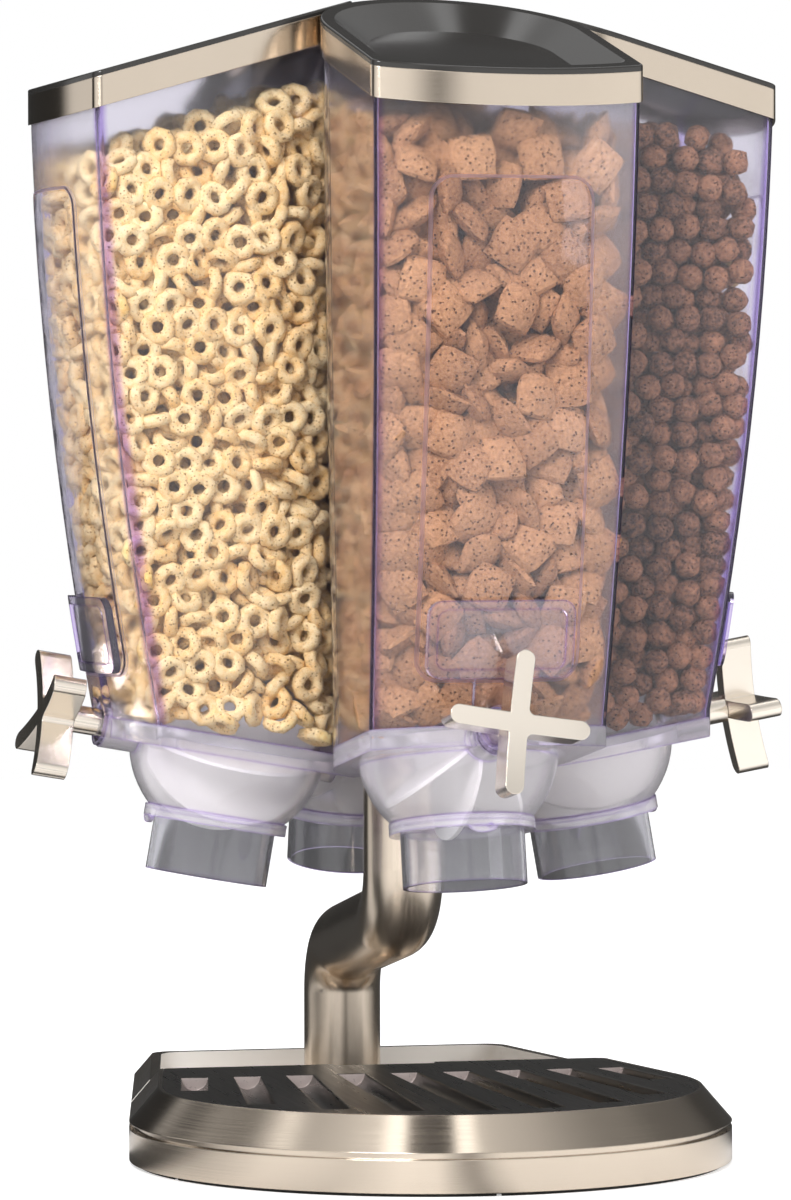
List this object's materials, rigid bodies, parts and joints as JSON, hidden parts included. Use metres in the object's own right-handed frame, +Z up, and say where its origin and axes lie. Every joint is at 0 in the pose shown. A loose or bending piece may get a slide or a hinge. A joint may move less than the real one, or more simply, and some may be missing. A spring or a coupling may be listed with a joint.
{
  "type": "rotating cereal dispenser",
  "caption": "Counter-top cereal dispenser: clear lidded hoppers on a carousel, each with a knob-turned portion wheel, over a round base with a lift-out drip tray.",
  "frame": {"origin": "middle of the base's round front, on the underside of its mat", "axes": "+Z up, the round front of the base towards -Y, the column's foot towards +Y"},
  "size_m": [0.4359, 0.458, 0.6422],
  "materials": {
    "nickel": "warm brushed nickel, satin",
    "casting": "warm brushed nickel plate on a light alloy casting, satin",
    "mat": "matt black rubber",
    "screw": "plain zinc",
    "dark_gloss": "dark charcoal, glossy",
    "bearing": "plain white acetal",
    "spindle_steel": "turned steel",
    "hub_plastic": "black, satin",
    "clear_plastic": "clear copolyester with violet edges, finely frosted outside its window",
    "milky_plastic": "milky clear plastic",
    "smoky_plastic": "smoky clear plastic",
    "seal": "grey silicone",
    "vane": "pale flexible silicone",
    "knob_nickel": "warm satin nickel casting"
  },
  "bodies": {
    "stand": {"base_casting": "casting", "base_mat": "mat", "base_screws": "screw", "column": "nickel", "column_flange": "nickel", "column_bolts": "screw", "spindle": "spindle_steel", "spindle_nut": "screw", "thrust_washer": "bearing"},
    "tray": {"tray_trim": "nickel", "tray_plate": "dark_gloss"},
    "carousel": {"hub": "hub_plastic", "hub_bushes": "bearing", "hub_cap": "hub_plastic", "hopper_front": "clear_plastic", "label_holder_front": "clear_plastic", "funnel_front": "milky_plastic", "spout_front": "smoky_plastic", "shaft_bush_front": "clear_plastic", "hopper_right": "clear_plastic", "label_holder_right": "clear_plastic", "funnel_right": "milky_plastic", "spout_right": "smoky_plastic", "shaft_bush_right": "clear_plastic", "hopper_rear": "clear_plastic", "label_holder_rear": "clear_plastic", "funnel_rear": "milky_plastic", "spout_rear": "smoky_plastic", "shaft_bush_rear": "clear_plastic", "hopper_left": "clear_plastic", "label_holder_left": "clear_plastic", "funnel_left": "milky_plastic", "spout_left": "smoky_plastic", "shaft_bush_left": "clear_plastic"},
    "lid_front": {"lid_band_front": "nickel", "lid_seal_front": "seal", "lid_top_front": "dark_gloss"},
    "dial_front": {"knob_front": "knob_nickel", "shaft_front": "nickel", "wheel_front": "vane"},
    "lid_right": {"lid_band_right": "nickel", "lid_seal_right": "seal", "lid_top_right": "dark_gloss"},
    "dial_right": {"knob_right": "knob_nickel", "shaft_right": "nickel", "wheel_right": "vane"},
    "lid_rear": {"lid_band_rear": "nickel", "lid_seal_rear": "seal", "lid_top_rear": "dark_gloss"},
    "dial_rear": {"knob_rear": "knob_nickel", "shaft_rear": "nickel", "wheel_rear": "vane"},
    "lid_left": {"lid_band_left": "nickel", "lid_seal_left": "seal", "lid_top_left": "dark_gloss"},
    "dial_left": {"knob_left": "knob_nickel", "shaft_left": "nickel", "wheel_left": "vane"}
  },
  "joints": [
    {"name": "carousel_spin", "type": "hinge", "parent": "stand", "child": "carousel", "pos_m": [0, 0.068, 0.25], "axis": [0, 0, 1], "continuous": true},
    {"name": "tray_lift", "type": "slide", "parent": "stand", "child": "tray", "axis": [0, 0, 1], "range_m": [0, 0.04]},
    {"name": "knob_turn_front", "type": "hinge", "parent": "carousel", "child": "dial_front", "pos_m": [0.008, -0.03369, 0.228], "axis": [0.0773, -0.9818, 0.1736], "continuous": true},
    {"name": "lid_lift_front", "type": "slide", "parent": "carousel", "child": "lid_front", "axis": [0, 0, 1], "range_m": [0, 0.12]},
    {"name": "knob_turn_right", "type": "hinge", "parent": "carousel", "child": "dial_right", "pos_m": [0.10169, 0.076, 0.228], "axis": [0.9818, 0.0773, 0.1736], "continuous": true},
    {"name": "lid_lift_right", "type": "slide", "parent": "carousel", "child": "lid_right", "axis": [0, 0, 1], "range_m": [0, 0.12]},
    {"name": "knob_turn_rear", "type": "hinge", "parent": "carousel", "child": "dial_rear", "pos_m": [-0.008, 0.16969, 0.228], "axis": [-0.0773, 0.9818, 0.1736], "continuous": true},
    {"name": "lid_lift_rear", "type": "slide", "parent": "carousel", "child": "lid_rear", "axis": [0, 0, 1], "range_m": [0, 0.12]},
    {"name": "knob_turn_left", "type": "hinge", "parent": "carousel", "child": "dial_left", "pos_m": [-0.10169, 0.06, 0.228], "axis": [-0.9818, -0.0773, 0.1736], "continuous": true},
    {"name": "lid_lift_left", "type": "slide", "parent": "carousel", "child": "lid_left", "axis": [0, 0, 1], "range_m": [0, 0.12]}
  ]
}
